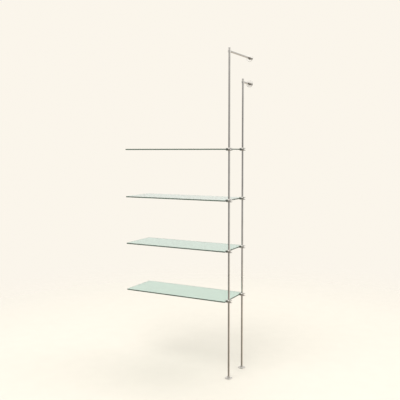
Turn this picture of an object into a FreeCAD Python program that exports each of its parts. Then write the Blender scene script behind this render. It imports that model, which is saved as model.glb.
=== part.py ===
# Wall-mounted glass shelving bay, in millimetres.
# Two chromed posts stand one behind the other at the right-hand end of four glass shelves. Each post
# stands in a floor flange and is tied to the wall by an arm near its top. Every shelf is held by two
# double-sided jaw clamps, one on each post, whose right-hand jaws are free for a neighbouring bay.
# Frame: +X along the wall to the right, +Y towards the wall, +Z up. The origin is on the floor, on
# the axis of the front post.

import FreeCAD
import Part
import Sketcher
import os

Vector = FreeCAD.Vector
Rotation = FreeCAD.Rotation

# Driving dimensions
SIZES = {
    # Glass shelves
    "glass_length": 800.0,
    "glass_depth": 300.0,
    "glass_thickness": 8.0,
    "glass_corner_radius": 4.0,
    "glass_arris": 0.8,
    "front_overhang": 40.0,
    "rear_overhang": 40.0,
    "lowest_shelf_height": 538.0,
    "shelf_pitch": 343.0,
    # Posts and wall arms
    "tube_diameter": 14.0,
    "tube_wall": 1.5,
    "wall_distance": 115.0,
    "rear_arm_height": 2029.0,
    "arm_step": 178.0,
    "fit_clearance": 0.05,
    "slide_clearance": 0.1,
    # Post caps
    "cap_plug_length": 12.0,
    "cap_collar_diameter": 17.0,
    "cap_collar_height": 1.5,
    "cap_neck_diameter": 9.0,
    "cap_neck_height": 4.5,
    "cap_head_diameter": 14.5,
    "cap_head_height": 14.0,
    "cap_dome_radius": 5.5,
    # Flanges on floor and wall
    "flange_diameter": 50.0,
    "flange_rim": 3.0,
    "flange_base": 4.0,
    "flange_height": 15.0,
    "flange_collar_wall": 2.5,
    "flange_root_radius": 2.0,
    "flange_edge_radius": 1.2,
    "flange_hole_circle": 36.0,
    "flange_hole_diameter": 4.5,
    # Tee connectors
    "tee_wall": 2.5,
    "tee_height": 16.0,
    "tee_edge_radius": 0.8,
    "tee_boss_reach": 1.5,
    "tee_spigot_length": 25.0,
    # Jaw clamps
    "clamp_wall": 4.0,
    "clamp_end_wall": 1.6,
    "clamp_ring_height": 22.0,
    "clamp_ring_land": 8.0,
    "clamp_ring_radius": 4.0,
    "jaw_root_height": 20.0,
    "jaw_tip_height": 18.0,
    "jaw_reach": 22.5,
    "jaw_width": 16.0,
    "jaw_corner_radius": 5.0,
    "clamp_edge_radius": 1.2,
    "gasket_thickness": 1.0,
    "gasket_setback": 2.0,
    "gasket_width": 13.0,
    # Set screws
    "screw_diameter": 4.0,
    "screw_clearance": 0.05,
    "screw_socket_flats": 2.0,
    "screw_socket_depth": 1.5,
}

# Sizes that follow from the driving ones
FITS = {
    "tube_bore": "sizes.tube_diameter - 2 * sizes.tube_wall",
    "socket_diameter": "sizes.tube_diameter + 2 * sizes.fit_clearance",
    "slide_diameter": "sizes.tube_diameter + 2 * sizes.slide_clearance",
    "post_spacing": "sizes.glass_depth - sizes.front_overhang - sizes.rear_overhang",
    "wall_face": "post_spacing + sizes.wall_distance",
    "front_arm_height": "sizes.rear_arm_height + sizes.arm_step",
    "front_post_length": "front_arm_height + sizes.tee_height / 2 - sizes.flange_base",
    "rear_post_length": "sizes.rear_arm_height + sizes.tee_height / 2 - sizes.flange_base",
    "tee_diameter": "socket_diameter + 2 * sizes.tee_wall",
    "arm_start": "tee_diameter / 2 + sizes.tee_boss_reach",
    "spigot_diameter": "tube_bore - 2 * sizes.fit_clearance",
    "front_arm_length": "wall_face - sizes.flange_base - arm_start",
    "rear_arm_length": "sizes.wall_distance - sizes.flange_base - arm_start",
    "flange_collar_diameter": "socket_diameter + 2 * sizes.flange_collar_wall",
    "flange_screw_height": "sizes.flange_height - sizes.screw_diameter",
    "clamp_ring_diameter": "slide_diameter + 2 * sizes.clamp_wall",
    "clamp_end_diameter": "slide_diameter + 2 * sizes.clamp_end_wall",
    "jaw_slot": "sizes.glass_thickness + 2 * sizes.gasket_thickness",
    "jaw_root": "clamp_ring_diameter / 2",
    "jaw_lip": "(sizes.jaw_tip_height - jaw_slot) / 2",
    "jaw_screw_offset": "(jaw_root + sizes.jaw_reach) / 2",
    "gasket_tip": "sizes.jaw_reach - sizes.gasket_setback",
    "glass_edge": "jaw_root + sizes.gasket_thickness",
    "screw_hole": "sizes.screw_diameter + 2 * sizes.screw_clearance",
}

SHELVES = ("bottom", "lower", "upper", "top")
FLANGE_HOLES = 3
SOCKET_SIDES = 6

# Turns of a piece's own +Z onto the direction it points in
UPRIGHT = Rotation()
TOWARDS_WALL = Rotation(Vector(1, 0, 0), -90)
OFF_WALL = Rotation(Vector(1, 0, 0), 90)
DOWNWARDS = Rotation(Vector(1, 0, 0), 180)
TO_THE_LEFT = Rotation(Vector(0, 1, 0), -90)
HALF_TURN = Rotation(Vector(0, 0, 1), 180)

doc = FreeCAD.newDocument("glass_shelving")
sub_parts = []


def fill_sheet(name, cells):
    """Make a sheet whose cells carry their own names."""
    sheet = doc.addObject("Spreadsheet::Sheet", name)
    for row, (alias, content) in enumerate(cells.items(), start=1):
        sheet.set(f"A{row}", alias)
        sheet.setAlias(f"B{row}", alias)
        sheet.set(f"B{row}", content)
    doc.recompute()
    return sheet


sizes = fill_sheet("sizes", {alias: str(value) for alias, value in SIZES.items()})
fits = fill_sheet("fits", {alias: f"={formula}" for alias, formula in FITS.items()})


# Helpers for bodies and sketches

def place(item, at=("0", "0", "0"), turn=UPRIGHT):
    """Turn an object and bind its place to formulas for x, y and z."""
    item.Placement = FreeCAD.Placement(Vector(), turn)
    for axis, formula in zip("xyz", at):
        item.setExpression(f"Placement.Base.{axis}", formula)


def keep(item, label):
    """Name a finished sub-part and put it on the list of pieces to write."""
    item.Label = label
    sub_parts.append(item)


def new_body(label, at, turn=UPRIGHT):
    """Start a body that is one sub-part of the unit."""
    body = doc.addObject("PartDesign::Body", label)
    place(body, at, turn)
    keep(body, label)
    return body


def new_sketch(body, name, role, height="0"):
    """Add a sketch on one of the body's own planes, or at a height above that plane."""
    sketch = body.newObject("Sketcher::SketchObject", name)
    plane = next(item for item in body.Origin.OriginFeatures if item.Role == role)
    sketch.AttachmentSupport = [(plane, "")]
    sketch.MapMode = "FlatFace"
    sketch.setExpression("AttachmentOffset.Base.z", height)
    return sketch


def bind(sketch, kind, elements, formula):
    """Add one dimension to a sketch and drive it by a formula."""
    value = sketch.evalExpression(formula)
    index = sketch.addConstraint(Sketcher.Constraint(kind, *elements, value))
    sketch.setExpression(f"Constraints[{index}]", formula)


def add_circle(sketch, diameter, across="0", along="0"):
    """Draw a circle whose diameter and centre are formulas."""
    centre = Vector(sketch.evalExpression(across), sketch.evalExpression(along), 0)
    radius = sketch.evalExpression(diameter) / 2
    circle = sketch.addGeometry(Part.Circle(centre, Vector(0, 0, 1), radius), False)
    bind(sketch, "DistanceX", (-1, 1, circle, 3), across)
    bind(sketch, "DistanceY", (-1, 1, circle, 3), along)
    bind(sketch, "Diameter", (circle,), diameter)


def add_outline(sketch, corners):
    """Draw a closed outline of straight lines through corners given as formulas."""
    points = [Vector(sketch.evalExpression(x), sketch.evalExpression(y), 0) for x, y in corners]
    lines = []
    for start, end in zip(points, points[1:] + points[:1]):
        lines.append(sketch.addGeometry(Part.LineSegment(start, end), False))
    for line, following in zip(lines, lines[1:] + lines[:1]):
        sketch.addConstraint(Sketcher.Constraint("Coincident", line, 2, following, 1))
    for line, (x, y) in zip(lines, corners):
        bind(sketch, "DistanceX", (-1, 1, line, 1), x)
        bind(sketch, "DistanceY", (-1, 1, line, 1), y)


def extrude(body, kind, name, sketch, length, side="One side", reverse=False):
    """Pad or pocket a sketch by a length that is a formula."""
    feature = body.newObject(f"PartDesign::{kind}", name)
    feature.Profile = sketch
    feature.SideType = side
    feature.Reversed = reverse
    feature.setExpression("Length", length)
    doc.recompute()
    return feature


def revolve(body, name, sketch):
    """Turn a half section once round the upright axis of its sketch."""
    feature = body.newObject("PartDesign::Revolution", name)
    feature.Profile = sketch
    feature.ReferenceAxis = (sketch, ["V_Axis"])
    feature.Angle = 360
    doc.recompute()
    return feature


def edges_where(feature, wanted):
    """List the names of the edges of a feature that a test picks."""
    edges = enumerate(feature.Shape.Edges, start=1)
    return [f"Edge{number}" for number, edge in edges if wanted(edge)]


def soften(body, kind, name, base, wanted, size):
    """Fillet or chamfer the edges of a feature that a test picks."""
    feature = body.newObject(f"PartDesign::{kind}", name)
    feature.Base = (base, edges_where(base, wanted))
    feature.setExpression("Size" if kind == "Chamfer" else "Radius", size)
    doc.recompute()
    return feature


def near(value, target):
    """Tell whether two lengths are the same."""
    return abs(value - target) < 1e-4


def circle_at(radius, height):
    """Make a test for a round edge of one radius at one height on the body's axis."""
    def wanted(edge):
        curve = edge.Curve
        if curve.TypeId != "Part::GeomCircle":
            return False
        return near(curve.Radius, radius) and near(curve.Center.z, height)
    return wanted


def is_upright(edge):
    """Tell whether an edge runs straight up."""
    direction = edge.tangentAt(edge.FirstParameter)
    return edge.Curve.TypeId == "Part::GeomLine" and near(abs(direction.z), 1)


def is_level(edge):
    """Tell whether an edge stays at one height."""
    box = edge.BoundBox
    return near(box.ZMin, box.ZMax)


# Sub-parts of the frame

def make_tube(label, length, at, turn=UPRIGHT):
    """Make a post or a wall arm."""
    body = new_body(label, at, turn)
    section = new_sketch(body, "section", "XY_Plane")
    add_circle(section, "sizes.tube_diameter")
    add_circle(section, "fits.tube_bore")
    extrude(body, "Pad", "tube", section, length)


def make_cap(label, at):
    """Make a turned cap: a plug in the tube, a collar, a neck and a domed head."""
    body = new_body(label, at)
    half = new_sketch(body, "half_section", "XZ_Plane")
    plug = "fits.tube_bore / 2 - sizes.fit_clearance"
    neck_top = "sizes.cap_collar_height + sizes.cap_neck_height"
    head_top = f"{neck_top} + sizes.cap_head_height"
    add_outline(half, [
        ("0", "-sizes.cap_plug_length"),
        (plug, "-sizes.cap_plug_length"),
        (plug, "0"),
        ("sizes.cap_collar_diameter / 2", "0"),
        ("sizes.cap_collar_diameter / 2", "sizes.cap_collar_height"),
        ("sizes.cap_neck_diameter / 2", "sizes.cap_collar_height"),
        ("sizes.cap_neck_diameter / 2", neck_top),
        ("sizes.cap_head_diameter / 2", neck_top),
        ("sizes.cap_head_diameter / 2", head_top),
        ("0", head_top),
    ])
    turned = revolve(body, "turned", half)
    head_edge = circle_at(sizes.cap_head_diameter / 2, body.evalExpression(head_top))
    soften(body, "Fillet", "dome", turned, head_edge, "sizes.cap_dome_radius")


def make_flange(label, at, turn):
    """Make a round flange with holes for three screws and a collar with a blind socket for a tube."""
    body = new_body(label, at, turn)
    half = new_sketch(body, "half_section", "XZ_Plane")
    add_outline(half, [
        ("0", "0"),
        ("sizes.flange_diameter / 2", "0"),
        ("sizes.flange_diameter / 2", "sizes.flange_rim"),
        ("fits.flange_collar_diameter / 2", "sizes.flange_rim"),
        ("fits.flange_collar_diameter / 2", "sizes.flange_height"),
        ("fits.socket_diameter / 2", "sizes.flange_height"),
        ("fits.socket_diameter / 2", "sizes.flange_base"),
        ("0", "sizes.flange_base"),
    ])
    turned = revolve(body, "turned", half)
    root = circle_at(fits.flange_collar_diameter / 2, sizes.flange_rim)
    filled = soften(body, "Fillet", "collar_root", turned, root, "sizes.flange_root_radius")
    rim = circle_at(sizes.flange_diameter / 2, sizes.flange_rim)
    collar = circle_at(fits.flange_collar_diameter / 2, sizes.flange_height)
    soften(body, "Fillet", "rounded_edges", filled,
           lambda edge: rim(edge) or collar(edge), "sizes.flange_edge_radius")
    drill = new_sketch(body, "screw_place", "XY_Plane", "sizes.flange_rim")
    add_circle(drill, "sizes.flange_hole_diameter", "0", "sizes.flange_hole_circle / 2")
    doc.recompute()
    hole = body.newObject("PartDesign::Hole", "screw_hole")
    hole.Profile = drill
    hole.DepthType = "ThroughAll"
    hole.setExpression("Diameter", "sizes.flange_hole_diameter")
    doc.recompute()
    holes = body.newObject("PartDesign::PolarPattern", "screw_holes")
    holes.Originals = [hole]
    holes.Axis = (drill, ["N_Axis"])
    holes.Angle = 360
    holes.Occurrences = FLANGE_HOLES
    body.Tip = holes
    doc.recompute()
    tapping = new_sketch(body, "set_screw_place", "XZ_Plane")
    add_circle(tapping, "fits.screw_hole", "0", "fits.flange_screw_height")
    extrude(body, "Pocket", "set_screw_hole", tapping, "sizes.flange_diameter / 2", reverse=True)


def make_tee(label, at):
    """Make a connector: a ring round the post, and a boss with a spigot that the arm is pushed on."""
    body = new_body(label, at)
    ring = new_sketch(body, "ring_section", "XY_Plane")
    add_circle(ring, "fits.tee_diameter")
    blank = extrude(body, "Pad", "ring", ring, "sizes.tee_height", "Symmetric")
    soften(body, "Fillet", "ring_edges", blank, is_level, "sizes.tee_edge_radius")
    boss = new_sketch(body, "boss_section", "XZ_Plane")
    add_circle(boss, "sizes.tube_diameter")
    extrude(body, "Pad", "boss", boss, "fits.arm_start", reverse=True)
    spigot = new_sketch(body, "spigot_section", "XZ_Plane")
    add_circle(spigot, "fits.spigot_diameter")
    extrude(body, "Pad", "spigot", spigot, "fits.arm_start + sizes.tee_spigot_length", reverse=True)
    bore = new_sketch(body, "post_bore_section", "XY_Plane")
    add_circle(bore, "fits.socket_diameter")
    extrude(body, "Pocket", "post_bore", bore, "2 * sizes.tee_height", "Symmetric")
    tapping = new_sketch(body, "set_screw_place", "YZ_Plane")
    add_circle(tapping, "fits.screw_hole")
    extrude(body, "Pocket", "set_screw_hole", tapping, "fits.tee_diameter")


# Sub-parts of a shelf

def make_glass(label, height):
    """Make a glass plate with rounded corners and arrissed edges."""
    body = new_body(label, ("0", "0", height))
    plan = new_sketch(body, "plan", "XY_Plane")
    right = "-fits.glass_edge"
    left = "-fits.glass_edge - sizes.glass_length"
    front = "-sizes.front_overhang"
    rear = "sizes.glass_depth - sizes.front_overhang"
    add_outline(plan, [(left, front), (right, front), (right, rear), (left, rear)])
    plate = extrude(body, "Pad", "plate", plan, "sizes.glass_thickness", "Symmetric")
    corners = soften(body, "Fillet", "corners", plate, is_upright, "sizes.glass_corner_radius")
    soften(body, "Chamfer", "arrises", corners, is_level, "sizes.glass_arris")


def make_clamp(label, at):
    """Make a double-sided clamp: a ring round the post between two jaws."""
    body = new_body(label, at)
    profile = new_sketch(body, "jaw_profile", "XZ_Plane")
    root = "fits.jaw_root"
    tip = "sizes.jaw_reach"
    root_top = "sizes.jaw_root_height / 2"
    tip_top = "sizes.jaw_tip_height / 2"
    add_outline(profile, [
        (f"-{tip}", f"-{tip_top}"),
        (f"-{root}", f"-{root_top}"),
        (root, f"-{root_top}"),
        (tip, f"-{tip_top}"),
        (tip, tip_top),
        (root, root_top),
        (f"-{root}", root_top),
        (f"-{tip}", tip_top),
    ])
    bar = extrude(body, "Pad", "bar", profile, "sizes.jaw_width", "Symmetric")
    tips = soften(body, "Fillet", "jaw_corners", bar, is_upright, "sizes.jaw_corner_radius")
    soften(body, "Fillet", "rounded_edges", tips, bounds_top_or_bottom, "sizes.clamp_edge_radius")
    ring = new_sketch(body, "ring_half_section", "XZ_Plane")
    belly = "fits.clamp_ring_diameter / 2"
    end = "fits.clamp_end_diameter / 2"
    land = "sizes.clamp_ring_land / 2"
    top = "sizes.clamp_ring_height / 2"
    add_outline(ring, [
        ("0", f"-{top}"),
        (end, f"-{top}"),
        (belly, f"-{land}"),
        (belly, land),
        (end, top),
        ("0", top),
    ])
    turned = revolve(body, "ring", ring)
    upper = circle_at(fits.clamp_ring_diameter / 2, sizes.clamp_ring_land / 2)
    lower = circle_at(fits.clamp_ring_diameter / 2, -sizes.clamp_ring_land / 2)
    soften(body, "Fillet", "ring_shoulders", turned,
           lambda edge: upper(edge) or lower(edge), "sizes.clamp_ring_radius")
    slots = new_sketch(body, "slot_profiles", "XZ_Plane")
    for side in ("", "-"):
        inner = f"{side}fits.jaw_root"
        outer = f"{side}2 * sizes.jaw_reach"
        half = "fits.jaw_slot / 2"
        add_outline(slots, [(inner, f"-{half}"), (outer, f"-{half}"), (outer, half), (inner, half)])
    extrude(body, "Pocket", "slots", slots, "2 * sizes.jaw_width", "Symmetric")
    bore = new_sketch(body, "post_bore_section", "XY_Plane")
    add_circle(bore, "fits.slide_diameter")
    extrude(body, "Pocket", "post_bore", bore, "2 * sizes.clamp_ring_height", "Symmetric")
    jaw_taps = new_sketch(body, "jaw_screw_places", "XY_Plane")
    for side in ("", "-"):
        add_circle(jaw_taps, "fits.screw_hole", f"{side}fits.jaw_screw_offset")
    extrude(body, "Pocket", "jaw_screw_holes", jaw_taps, "sizes.clamp_ring_height")
    post_tap = new_sketch(body, "post_screw_place", "XZ_Plane")
    add_circle(post_tap, "fits.screw_hole")
    extrude(body, "Pocket", "post_screw_hole", post_tap, "sizes.jaw_width")


def bounds_top_or_bottom(edge):
    """Tell whether an edge of a clamp's bar goes round its top or its underside."""
    box = edge.BoundBox
    on_side = near(box.YMin, box.YMax) and near(abs(box.YMin), sizes.jaw_width / 2)
    return not is_upright(edge) and (on_side or edge.Curve.TypeId != "Part::GeomLine")


def make_gasket(name, at, turn):
    """Make the U-shaped liner of a jaw."""
    body = doc.addObject("PartDesign::Body", name)
    place(body, at, turn)
    profile = new_sketch(body, "channel", "XZ_Plane")
    back = "fits.jaw_root"
    seat = "fits.glass_edge"
    tip = "fits.gasket_tip"
    outer = "fits.jaw_slot / 2"
    inner = "sizes.glass_thickness / 2"
    add_outline(profile, [
        (back, f"-{outer}"),
        (tip, f"-{outer}"),
        (tip, f"-{inner}"),
        (seat, f"-{inner}"),
        (seat, inner),
        (tip, inner),
        (tip, outer),
        (back, outer),
    ])
    extrude(body, "Pad", "liner", profile, "sizes.gasket_width", "Symmetric")
    return body


def make_screw(name, length, at, turn):
    """Make a set screw with a hexagon socket. Its tip is at its place and its socket points out."""
    shank = doc.addObject("Part::Cylinder", f"{name}_shank")
    shank.setExpression("Radius", "sizes.screw_diameter / 2")
    shank.setExpression("Height", length)
    socket = doc.addObject("Part::Prism", f"{name}_socket")
    socket.Polygon = SOCKET_SIDES
    socket.setExpression("Circumradius", "sizes.screw_socket_flats / sqrt(3)")
    socket.setExpression("Height", "2 * sizes.screw_socket_depth")
    socket.setExpression("Placement.Base.z", f"{length} - sizes.screw_socket_depth")
    screw = doc.addObject("Part::Cut", name)
    screw.Base = shank
    screw.Tool = socket
    place(screw, at, turn)
    return screw


def make_group(label, pieces):
    """Gather identical small pieces into one sub-part of separate solids."""
    group = doc.addObject("Part::Compound", label)
    group.Links = pieces
    keep(group, label)


# The unit

posts = {
    "front": ("0", "fits.front_arm_height", "fits.front_post_length", "fits.front_arm_length"),
    "rear": ("fits.post_spacing", "sizes.rear_arm_height", "fits.rear_post_length",
             "fits.rear_arm_length"),
}

floor_screws = []
tee_screws = []
wall_screws = []
for name, (depth, arm_height, post_length, arm_length) in posts.items():
    make_flange(f"{name}_floor_flange", ("0", depth, "0"), HALF_TURN)
    make_tube(f"{name}_post", post_length, ("0", depth, "sizes.flange_base"))
    make_tee(f"{name}_tee", ("0", depth, arm_height))
    make_cap(f"{name}_post_cap", ("0", depth, f"{arm_height} + sizes.tee_height / 2"))
    make_tube(f"{name}_wall_arm", arm_length, ("0", f"{depth} + fits.arm_start", arm_height), TOWARDS_WALL)
    make_flange(f"{name}_wall_flange", ("0", "fits.wall_face", arm_height), OFF_WALL)
    floor_tip = f"{depth} + fits.socket_diameter / 2"
    floor_screws.append(make_screw(
        f"{name}_floor_screw", "sizes.flange_collar_wall",
        ("0", floor_tip, "fits.flange_screw_height"), TOWARDS_WALL))
    tee_screws.append(make_screw(
        f"{name}_tee_screw", "sizes.tee_wall",
        ("-fits.socket_diameter / 2", depth, arm_height), TO_THE_LEFT))
    wall_tip = f"{arm_height} - fits.socket_diameter / 2"
    wall_screws.append(make_screw(
        f"{name}_wall_screw", "sizes.flange_collar_wall",
        ("0", "fits.wall_face - fits.flange_screw_height", wall_tip), DOWNWARDS))
make_group("floor_flange_set_screws", floor_screws)
make_group("tee_set_screws", tee_screws)
make_group("wall_flange_set_screws", wall_screws)

for index, shelf in enumerate(SHELVES):
    height = f"sizes.lowest_shelf_height + {index} * sizes.shelf_pitch"
    make_glass(f"{shelf}_glass", height)
    gaskets = []
    jaw_screws = []
    post_screws = []
    for name, (depth, *_) in posts.items():
        make_clamp(f"{shelf}_{name}_clamp", ("0", depth, height))
        gaskets.append(make_gasket(f"{shelf}_{name}_gasket", ("0", depth, height), HALF_TURN))
        for side, sign in (("left", "-"), ("right", "")):
            jaw_screws.append(make_screw(
                f"{shelf}_{name}_{side}_jaw_screw", "fits.jaw_lip",
                (f"{sign}fits.jaw_screw_offset", depth, f"{height} - fits.jaw_slot / 2"), DOWNWARDS))
        post_screws.append(make_screw(
            f"{shelf}_{name}_post_screw", "sizes.clamp_wall",
            ("0", f"{depth} + fits.slide_diameter / 2", height), TOWARDS_WALL))
    make_group(f"{shelf}_clamp_gaskets", gaskets)
    make_group(f"{shelf}_jaw_screws", jaw_screws)
    make_group(f"{shelf}_clamp_post_screws", post_screws)

doc.recompute()

failed = [item.Label for item in doc.Objects if {"Invalid", "Error"} & set(item.State)]
if failed:
    raise RuntimeError(f"these did not build: {failed}")
for item in sub_parts:
    if item.Shape.isNull() or not item.Shape.isValid():
        raise RuntimeError(f"{item.Label} has no valid shape")

os.makedirs("parts", exist_ok=True)
for item in sub_parts:
    item.Shape.exportStep(f"parts/{item.Label}.step")
    print(f"{item.Label}: {len(item.Shape.Solids)} solids, {item.Shape.Volume:.1f} mm3")
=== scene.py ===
"""Looks of a wall-mounted glass shelving bay: chromed posts, slide-on clamps and clear glass shelves.

Everything is in metres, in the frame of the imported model: +X along the wall to the right, +Y towards
the wall, +Z up, and the origin on the floor at the axis of the front post.
"""
import logging
import math
from dataclasses import dataclass
from enum import Enum
from typing import Any

import bmesh
import bpy
from mathutils import Euler, Matrix, Vector

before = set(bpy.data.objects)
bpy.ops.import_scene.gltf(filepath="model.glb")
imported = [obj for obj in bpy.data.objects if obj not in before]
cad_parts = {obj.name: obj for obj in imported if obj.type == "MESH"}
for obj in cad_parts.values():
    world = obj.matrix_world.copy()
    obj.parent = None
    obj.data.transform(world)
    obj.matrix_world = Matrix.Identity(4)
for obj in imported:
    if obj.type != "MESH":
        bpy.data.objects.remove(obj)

Colour = tuple[float, float, float]
Place = tuple[float, float, float]

log = logging.getLogger("glass_shelving")


class Side(Enum):
    """The two posts, one behind the other."""

    FRONT = "front"
    REAR = "rear"


class Level(Enum):
    """The four shelves, from the floor up."""

    BOTTOM = "bottom"
    LOWER = "lower"
    UPPER = "upper"
    TOP = "top"


class Grain(Enum):
    """Which way polishing marks run, as the share of their pitch along X, Y and Z."""

    UPRIGHT = (1.0, 1.0, 0.004)
    LEVEL = (1.0, 0.004, 1.0)
    CAST = (1.0, 1.0, 1.0)


class Value:
    """A number that changes over a surface: a shader socket with Python's arithmetic."""

    def __init__(self, shader: "Shader", socket: bpy.types.NodeSocket) -> None:
        """Wraps a socket of a shader's node tree."""
        self.shader = shader
        self.socket = socket

    def math(self, operation: str, first: Any, second: Any = 0.0) -> "Value":
        """Adds a Math node.

        Args:
            operation: the node's operation, in Blender's words.
            first: the first operand, a Value or a number.
            second: the second operand, a Value or a number.

        Returns:
            The node's result.
        """
        node = self.shader.node("ShaderNodeMath", {"operation": operation}, {0: first, 1: second})
        return Value(self.shader, node.outputs[0])

    def __add__(self, other: Any) -> "Value":
        """Gives self + other."""
        return self.math("ADD", self, other)

    def __radd__(self, other: Any) -> "Value":
        """Gives other + self."""
        return self.math("ADD", other, self)

    def __sub__(self, other: Any) -> "Value":
        """Gives self - other."""
        return self.math("SUBTRACT", self, other)

    def __rsub__(self, other: Any) -> "Value":
        """Gives other - self."""
        return self.math("SUBTRACT", other, self)

    def __mul__(self, other: Any) -> "Value":
        """Gives self * other."""
        return self.math("MULTIPLY", self, other)

    def __rmul__(self, other: Any) -> "Value":
        """Gives other * self."""
        return self.math("MULTIPLY", other, self)

    def __abs__(self) -> "Value":
        """Gives the value without its sign."""
        return self.math("ABSOLUTE", self)

    def ramp(self, low: float, high: float) -> "Value":
        """Eases the value from 0 at low to 1 at high.

        Args:
            low: the value that gives 0.
            high: the value that gives 1, which may be the smaller of the two.

        Returns:
            The eased value.
        """
        settings = {"interpolation_type": "SMOOTHSTEP", "clamp": True}
        sockets = {"Value": self, "From Min": low, "From Max": high, "To Min": 0.0, "To Max": 1.0}
        return Value(self.shader, self.shader.node("ShaderNodeMapRange", settings, sockets).outputs[0])


class Shader:
    """The node tree of one material or world."""

    def __init__(self, tree: bpy.types.NodeTree) -> None:
        """Takes over a node tree and empties it."""
        self.tree = tree
        self.tree.nodes.clear()

    def node(self, kind: str, settings: dict[str, Any], sockets: dict[Any, Any]) -> bpy.types.Node:
        """Adds one node.

        Args:
            kind: the node's type, in Blender's words.
            settings: the node's properties, which are set first.
            sockets: for each input, by name or number, a Value, an output to link or a plain value.

        Returns:
            The new node.
        """
        node = self.tree.nodes.new(kind)
        for name, setting in settings.items():
            setattr(node, name, setting)
        for key, given in sockets.items():
            source = given.socket if isinstance(given, Value) else given
            if isinstance(source, bpy.types.NodeSocket):
                self.tree.links.new(source, node.inputs[key])
            else:
                node.inputs[key].default_value = source
        return node

    def place(self, output: str = "Object") -> bpy.types.NodeSocket:
        """Gives an output of Texture Coordinate, by default the place on the object in metres."""
        return self.node("ShaderNodeTexCoord", {}, {}).outputs[output]

    def noise(self, pitch: float, grain: Grain = Grain.CAST, detail: float = 2.0) -> Value:
        """Adds a cloudy pattern.

        Args:
            pitch: the size of its patches in metres.
            grain: the way they are drawn out.
            detail: how many finer layers lie on them.

        Returns:
            The pattern, from 0 to 1 about 0.5.
        """
        factors = {0: self.place(), 1: grain.value}
        stretched = self.node("ShaderNodeVectorMath", {"operation": "MULTIPLY"}, factors)
        sockets = {"Vector": stretched.outputs[0], "Scale": 1.0 / pitch, "Detail": detail}
        return Value(self, self.node("ShaderNodeTexNoise", {}, sockets).outputs[0])

    def axis(self, name: str, vector: bpy.types.NodeSocket) -> Value:
        """Gives the X, Y or Z part of a vector."""
        return Value(self, self.node("ShaderNodeSeparateXYZ", {}, {0: vector}).outputs[name])

    def facing(self, way: bpy.types.NodeSocket, direction: Place) -> Value:
        """Tells how nearly a direction socket points in one fixed direction.

        Args:
            way: the direction socket.
            direction: the fixed direction, of unit length.

        Returns:
            The cosine of the angle between the two.
        """
        node = self.node("ShaderNodeVectorMath", {"operation": "DOT_PRODUCT"}, {0: way, 1: direction})
        return Value(self, node.outputs["Value"])

    def blend(self, factor: Value, first: Colour, second: Colour) -> bpy.types.NodeSocket:
        """Mixes two colours.

        Args:
            factor: 0 for the first colour, 1 for the second.
            first: the one colour.
            second: the other colour.

        Returns:
            The mixed colour.
        """
        sockets = {0: factor, 6: (*first, 1.0), 7: (*second, 1.0)}
        return self.node("ShaderNodeMix", {"data_type": "RGBA"}, sockets).outputs[2]

    def bump(self, height: Value, depth: float) -> bpy.types.NodeSocket:
        """Turns a pattern into a relief of that depth in metres."""
        return self.node("ShaderNodeBump", {}, {"Height": height, "Distance": depth}).outputs[0]

    def surface(self, sockets: dict[str, Any]) -> bpy.types.NodeSocket:
        """Adds a Principled BSDF with those values and links, and gives its output."""
        return self.node("ShaderNodeBsdfPrincipled", {}, sockets).outputs[0]

    def finish(self, sockets: dict[str, bpy.types.NodeSocket]) -> None:
        """Adds the material's output, which takes a surface and may take a volume."""
        self.node("ShaderNodeOutputMaterial", {}, sockets)


def new_material(name: str) -> tuple[bpy.types.Material, Shader]:
    """Starts a material.

    Args:
        name: the material's name.

    Returns:
        The material and its empty shader.
    """
    material = bpy.data.materials.new(name)
    material.use_nodes = True
    return material, Shader(material.node_tree)


@dataclass(frozen=True)
class ChromePlate:
    """Bright chromium plate on polished metal, with faint polishing marks and handling smudges."""

    name: str
    grain: Grain
    mark_pitch: float
    mark_depth: float
    bright: Colour = (0.60, 0.59, 0.57)
    dull: Colour = (0.53, 0.52, 0.50)
    gloss: float = 0.04
    smudge_pitch: float = 0.045
    smudge_haze: float = 0.06
    mark_haze: float = 0.04
    dust_height: float = 0.06
    dust_haze: float = 0.12

    def make(self) -> bpy.types.Material:
        """Builds the material.

        Returns:
            The material.
        """
        material, shader = new_material(self.name)
        smudge = shader.noise(self.smudge_pitch, detail=5.0).ramp(low=0.35, high=0.75)
        marks = shader.noise(self.mark_pitch, self.grain, detail=3.0)
        dust = shader.axis("Z", shader.place()).ramp(low=self.dust_height, high=0.0)
        haze = self.smudge_haze * smudge + self.mark_haze * marks + self.dust_haze * dust
        shader.finish({"Surface": shader.surface({
            "Base Color": shader.blend(smudge, self.bright, self.dull),
            "Metallic": 1.0,
            "Roughness": self.gloss + haze,
            "Normal": shader.bump(marks, self.mark_depth),
        })})
        return material


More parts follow.
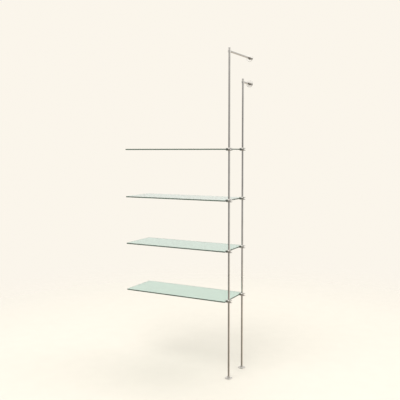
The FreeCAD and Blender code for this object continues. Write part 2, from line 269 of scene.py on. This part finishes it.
@dataclass(frozen=True)
class ClearGlass:
    """Clear float glass: pale on its faces; its finely ground edges are dark green, partly its own tint
    and partly painted shade.
    """

    name: str = "shelf_glass"
    face: Colour = (0.57, 0.78, 0.73)
    # Colour of the end faces: the glass's own tint, darkened by painted shade for the dark look light
    # inside the plate gives its edges.
    edge: Colour = (0.50, 0.52, 0.46)
    depth_colour: Colour = (0.40, 0.54, 0.48)
    depth_density: float = 8.0
    ior: float = 1.52
    face_roughness: float = 0.006
    edge_roughness: float = 0.10
    smudge_pitch: float = 0.07
    smudge_haze: float = 0.02
    grind_pitch: float = 0.0006
    grind_depth: float = 0.00004
    grind_haze: float = 0.08
    # Colours of the ground edge: a real ground finish, kept dark as painted shade on the end faces.
    ground_and_shade_dark: Colour = (0.088, 0.137, 0.106)
    ground_and_shade_pale: Colour = (0.165, 0.23, 0.182)
    ground_roughness: float = 0.25
    ground_share: float = 0.6

    def make(self) -> bpy.types.Material:
        """Builds the material.

        Returns:
            The material.
        """
        material, shader = new_material(self.name)
        edge = abs(shader.axis("Z", shader.place("Normal"))).ramp(low=0.8, high=0.3)
        smudge = shader.noise(self.smudge_pitch, detail=4.0).ramp(low=0.5, high=0.8)
        grind = shader.noise(self.grind_pitch, detail=2.0) * edge
        rough_edge = edge * (self.edge_roughness + self.grind_haze * grind)
        # End faces get the edge colour: the glass's tint plus painted shade.
        clear = shader.surface({
            "Base Color": shader.blend(edge, self.face, self.edge),
            "Roughness": self.face_roughness + self.smudge_haze * smudge + rough_edge,
            "IOR": self.ior,
            "Transmission Weight": 1.0,
            "Normal": shader.bump(grind, self.grind_depth),
        })
        # Dark diffuse layer mixed onto the end faces: partly the ground finish, partly painted shade.
        ground = shader.surface({
            "Base Color": shader.blend(grind, self.ground_and_shade_dark, self.ground_and_shade_pale),
            "Roughness": self.ground_roughness,
            "IOR": self.ior,
        })
        mixed = shader.node("ShaderNodeMixShader", {}, {0: self.ground_share * edge, 1: clear, 2: ground})
        depths = {"Color": (*self.depth_colour, 1.0), "Density": self.depth_density}
        volume = shader.node("ShaderNodeVolumeAbsorption", {}, depths)
        shader.finish({"Surface": mixed.outputs[0], "Volume": volume.outputs[0]})
        return material


@dataclass(frozen=True)
class BlackRubber:
    """Soft black liner, matt, with a moulded grain and a little dust in it."""

    name: str = "liner_rubber"
    black: Colour = (0.045, 0.045, 0.046)
    dusty: Colour = (0.11, 0.108, 0.104)
    roughness: float = 0.55
    dust_pitch: float = 0.006
    dust_haze: float = 0.2
    grain_pitch: float = 0.0007
    grain_depth: float = 0.00006
    grain_haze: float = 0.1

    def make(self) -> bpy.types.Material:
        """Builds the material.

        Returns:
            The material.
        """
        material, shader = new_material(self.name)
        dust = shader.noise(self.dust_pitch, detail=4.0).ramp(low=0.45, high=0.8)
        grain = shader.noise(self.grain_pitch, detail=3.0)
        shader.finish({"Surface": shader.surface({
            "Base Color": shader.blend(dust, self.black, self.dusty),
            "Roughness": self.roughness + self.dust_haze * dust + self.grain_haze * grain,
            "Normal": shader.bump(grain, self.grain_depth),
        })})
        return material


@dataclass(frozen=True)
class ScrewSteel:
    """Zinc-plated steel of the set screws, turned and slightly clouded."""

    name: str = "set_screw_steel"
    bright: Colour = (0.52, 0.52, 0.51)
    cloudy: Colour = (0.36, 0.36, 0.37)
    roughness: float = 0.24
    cloud_pitch: float = 0.0025
    cloud_haze: float = 0.16
    turn_pitch: float = 0.0004
    turn_depth: float = 0.00003

    def make(self) -> bpy.types.Material:
        """Builds the material.

        Returns:
            The material.
        """
        material, shader = new_material(self.name)
        cloud = shader.noise(self.cloud_pitch, detail=4.0)
        turned = shader.noise(self.turn_pitch, detail=2.0)
        shader.finish({"Surface": shader.surface({
            "Base Color": shader.blend(cloud, self.bright, self.cloudy),
            "Metallic": 1.0,
            "Roughness": self.roughness + self.cloud_haze * cloud,
            "Normal": shader.bump(turned, self.turn_depth),
        })})
        return material


@dataclass(frozen=True)
class PaleFloor:
    """Plain pale studio floor that fades out towards its rim."""

    name: str = "pale_floor"
    light: Colour = (0.612, 0.593, 0.542)
    shade: Colour = (0.585, 0.567, 0.521)
    roughness: float = 0.6
    mottle_pitch: float = 0.12
    mottle_haze: float = 0.15
    fade_start: float = 1.6
    fade_end: float = 4.2

    def make(self) -> bpy.types.Material:
        """Builds the material.

        Returns:
            The material.
        """
        material, shader = new_material(self.name)
        mottle = shader.noise(self.mottle_pitch, detail=5.0)
        length = shader.node("ShaderNodeVectorMath", {"operation": "LENGTH"}, {0: shader.place()})
        from_middle = Value(shader, length.outputs["Value"])
        shader.finish({"Surface": shader.surface({
            "Base Color": shader.blend(mottle, self.light, self.shade),
            "Roughness": self.roughness + self.mottle_haze * mottle,
            "Alpha": from_middle.ramp(low=self.fade_end, high=self.fade_start),
        })})
        return material


POST_CHROME = ChromePlate(
    name="chrome_on_posts",
    grain=Grain.UPRIGHT,
    mark_pitch=0.0005,
    mark_depth=0.000004,
    bright=(0.53, 0.52, 0.503),
    dull=(0.468, 0.459, 0.442),
)
ARM_CHROME = ChromePlate(
    name="chrome_on_arms",
    grain=Grain.LEVEL,
    mark_pitch=0.0005,
    mark_depth=0.000004,
    bright=(0.49, 0.482, 0.466),
    dull=(0.43, 0.421, 0.406),
)
CAST_CHROME = ChromePlate(
    name="chrome_on_castings",
    grain=Grain.CAST,
    mark_pitch=0.0028,
    mark_depth=0.000012,
    gloss=0.10,
)


class Finishes:
    """The finishes of the bay, each made once."""

    def __init__(self) -> None:
        """Makes every material of the object."""
        self.post_chrome = POST_CHROME.make()
        self.arm_chrome = ARM_CHROME.make()
        self.cast_chrome = CAST_CHROME.make()
        self.glass = ClearGlass().make()
        self.rubber = BlackRubber().make()
        self.steel = ScrewSteel().make()


def dress(node: str, material: bpy.types.Material) -> None:
    """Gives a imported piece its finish.

    Args:
        node: the piece's name.
        material: its finish.
    """
    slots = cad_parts[node].data.materials
    slots.clear()
    slots.append(material)
    log.info("%s in %s", node, material.name)


@dataclass
class Upright:
    """A post in its floor flange, with the cap, tee, arm and flange that tie it to the wall."""

    side: Side
    castings: tuple[str, ...] = ("floor_flange", "tee", "post_cap", "wall_flange")

    def dress(self, finishes: Finishes) -> None:
        """Chromes the post's pieces, each with the marks of the way it was made.

        Args:
            finishes: the finishes of the bay.
        """
        name = self.side.value
        dress(f"{name}_post", finishes.post_chrome)
        dress(f"{name}_wall_arm", finishes.arm_chrome)
        for casting in self.castings:
            dress(f"{name}_{casting}", finishes.cast_chrome)


@dataclass
class FrameScrews:
    """The set screws that lock flanges and tees on the tubes."""

    places: tuple[str, ...] = ("floor_flange", "tee", "wall_flange")

    def dress(self, finishes: Finishes) -> None:
        """Gives the screws their plated steel."""
        for place in self.places:
            dress(f"{place}_set_screws", finishes.steel)


@dataclass
class Shelf:
    """A glass shelf with the two clamps that hold it on the posts."""

    level: Level
    screws: tuple[str, ...] = ("jaw_screws", "clamp_post_screws")

    def dress(self, finishes: Finishes) -> None:
        """Dresses the glass, the clamps and what sits in their jaws.

        Args:
            finishes: the finishes of the bay.
        """
        name = self.level.value
        dress(f"{name}_glass", finishes.glass)
        for side in Side:
            dress(f"{name}_{side.value}_clamp", finishes.cast_chrome)
        dress(f"{name}_clamp_gaskets", finishes.rubber)
        for group in self.screws:
            dress(f"{name}_{group}", finishes.steel)


@dataclass(frozen=True)
class SoftBox:
    """A large soft lamp that the camera doesn't see."""

    name: str
    place: Place
    width: float
    height: float
    watts: float
    target: Place = (-0.35, 0.1, 1.1)
    colour: Colour = (1.0, 0.97, 0.93)

    def build(self) -> None:
        """Hangs the lamp and turns it to the middle of the object."""
        light = bpy.data.lights.new(self.name, "AREA")
        light.shape = "RECTANGLE"
        light.size = self.width
        light.size_y = self.height
        light.energy = self.watts
        light.color = self.colour
        lamp = bpy.data.objects.new(self.name, light)
        lamp.location = self.place
        way = Vector(self.target) - Vector(self.place)
        lamp.rotation_euler = way.to_track_quat("-Z", "Y").to_euler()
        lamp.visible_camera = False
        lamp.visible_glossy = False
        lamp.visible_transmission = False
        bpy.context.scene.collection.objects.link(lamp)
        log.info("lamp %s", self.name)


KEY_LAMP = SoftBox(name="key_lamp", place=(-0.6, -1.8, 4.4), width=2.6, height=1.8, watts=70.0)
FILL_LAMP = SoftBox(name="fill_lamp", place=(1.6, 1.6, 4.2), width=1.6, height=1.6, watts=22.0)


@dataclass(frozen=True)
class Room:
    """The light all round: an even backdrop for the camera, and a room that the metal mirrors."""

    backdrop: Colour = (0.965, 0.918, 0.832)
    tint: Colour = (1.0, 0.97, 0.92)
    ground_tint: Colour = (1.0, 0.89, 0.74)
    window_way: Place = (-0.39, -0.88, 0.27)
    doorway_way: Place = (0.42, -0.907, 0.0)
    dim_light: float = 0.45
    wall_light: float = 0.52
    window_light: float = 1.1
    side_light: float = 0.75
    ceiling_light: float = 0.9
    ceiling_lift: float = 0.3
    ground_loss: float = 0.05
    doorway_loss: float = 0.16

    def strength(self, shader: Shader) -> Value:
        """Works out how bright the room is in each direction.

        Args:
            shader: the world's shader.

        Returns:
            The brightness: most from the window, the pale wall behind the posts, the soft ceiling
            and the right-hand side, least from the ground and a dark doorway.
        """
        way = shader.place("Generated")
        height = shader.axis("Z", way)
        wall = shader.axis("Y", way).ramp(low=-0.35, high=0.45)
        window = shader.facing(way, self.window_way).ramp(low=0.972, high=0.98)
        doorway = shader.facing(way, self.doorway_way).ramp(low=0.90, high=0.99)
        side = shader.axis("X", way).ramp(low=0.80, high=1.0)
        ceiling = (height - self.ceiling_lift * wall).ramp(low=0.08, high=0.40)
        ground = height.ramp(low=-0.3, high=-0.4)
        lit = (self.wall_light * wall + self.window_light * window
               + self.side_light * side + self.ceiling_light * ceiling)
        return self.dim_light + lit - self.ground_loss * ground - self.doorway_loss * doorway

    def colour(self, shader: Shader) -> bpy.types.NodeSocket:
        """Gives the tint of the light, warmer from the ground."""
        ground = shader.axis("Z", shader.place("Generated")).ramp(low=-0.08, high=-0.34)
        return shader.blend(ground, self.tint, self.ground_tint)

    def build(self) -> None:
        """Makes the world: what the camera sees directly or through glass is the backdrop."""
        world = bpy.data.worlds.new("studio_room")
        world.use_nodes = True
        shader = Shader(world.node_tree)
        path = shader.node("ShaderNodeLightPath", {}, {}).outputs
        seen = Value(shader, path["Is Camera Ray"]) + Value(shader, path["Is Transmission Ray"])
        glow = {"Color": self.colour(shader), "Strength": self.strength(shader)}
        room = shader.node("ShaderNodeBackground", {}, glow)
        even = shader.node("ShaderNodeBackground", {}, {"Color": (*self.backdrop, 1.0)})
        both = {0: seen, 1: room.outputs[0], 2: even.outputs[0]}
        mixed = shader.node("ShaderNodeMixShader", {}, both)
        shader.node("ShaderNodeOutputWorld", {}, {"Surface": mixed.outputs[0]})
        bpy.context.scene.world = world
        log.info("room %s", world.name)


@dataclass(frozen=True)
class Viewpoint:
    """The camera: where it stands, how it is turned, in degrees, and its lens, in millimetres."""

    place: Place = (1.6447, -3.4911, 1.5639)
    yaw: float = 28.117
    dip: float = 4.965
    roll: float = 0.104
    lens: float = 52.034
    sensor: float = 36.0
    reach: float = 100.0

    def build(self) -> None:
        """Sets up the camera and makes it the scene's own."""
        optics = bpy.data.cameras.new("camera")
        optics.lens = self.lens
        optics.sensor_width = self.sensor
        optics.clip_end = self.reach
        camera = bpy.data.objects.new("camera", optics)
        camera.location = self.place
        level = Euler((math.radians(90.0 - self.dip), 0.0, math.radians(self.yaw))).to_matrix()
        roll = Matrix.Rotation(math.radians(-self.roll), 3, "Z")
        camera.rotation_euler = (level @ roll).to_euler()
        bpy.context.scene.collection.objects.link(camera)
        bpy.context.scene.camera = camera
        log.info("camera %s", camera.name)


@dataclass(frozen=True)
class Floor:
    """A round floor, a hair below the flanges."""

    radius: float = 4.4
    drop: float = 0.0002
    corners: int = 128

    def build(self) -> None:
        """Lays the floor and links it to the scene."""
        mesh = bpy.data.meshes.new("studio_floor")
        shape = bmesh.new()
        bmesh.ops.create_circle(shape, cap_ends=True, radius=self.radius, segments=self.corners)
        shape.to_mesh(mesh)
        shape.free()
        mesh.materials.append(PaleFloor().make())
        floor = bpy.data.objects.new("studio_floor", mesh)
        floor.location.z = -self.drop
        floor.visible_glossy = False
        bpy.context.scene.collection.objects.link(floor)
        log.info("floor %s", floor.name)


def set_stage() -> None:
    """Sets the stage round the object, with plain colours in the picture."""
    for part in (Floor(), Room(), KEY_LAMP, FILL_LAMP, Viewpoint()):
        part.build()
    bpy.context.scene.view_settings.view_transform = "Standard"


def main() -> None:
    """Dresses the bay piece by piece, then sets the stage."""
    logging.basicConfig(level=logging.INFO, format="%(message)s")
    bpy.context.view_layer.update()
    finishes = Finishes()
    for side in Side:
        Upright(side).dress(finishes)
    FrameScrews().dress(finishes)
    for level in Level:
        Shelf(level).dress(finishes)
    set_stage()


if __name__ == "__main__":
    main()
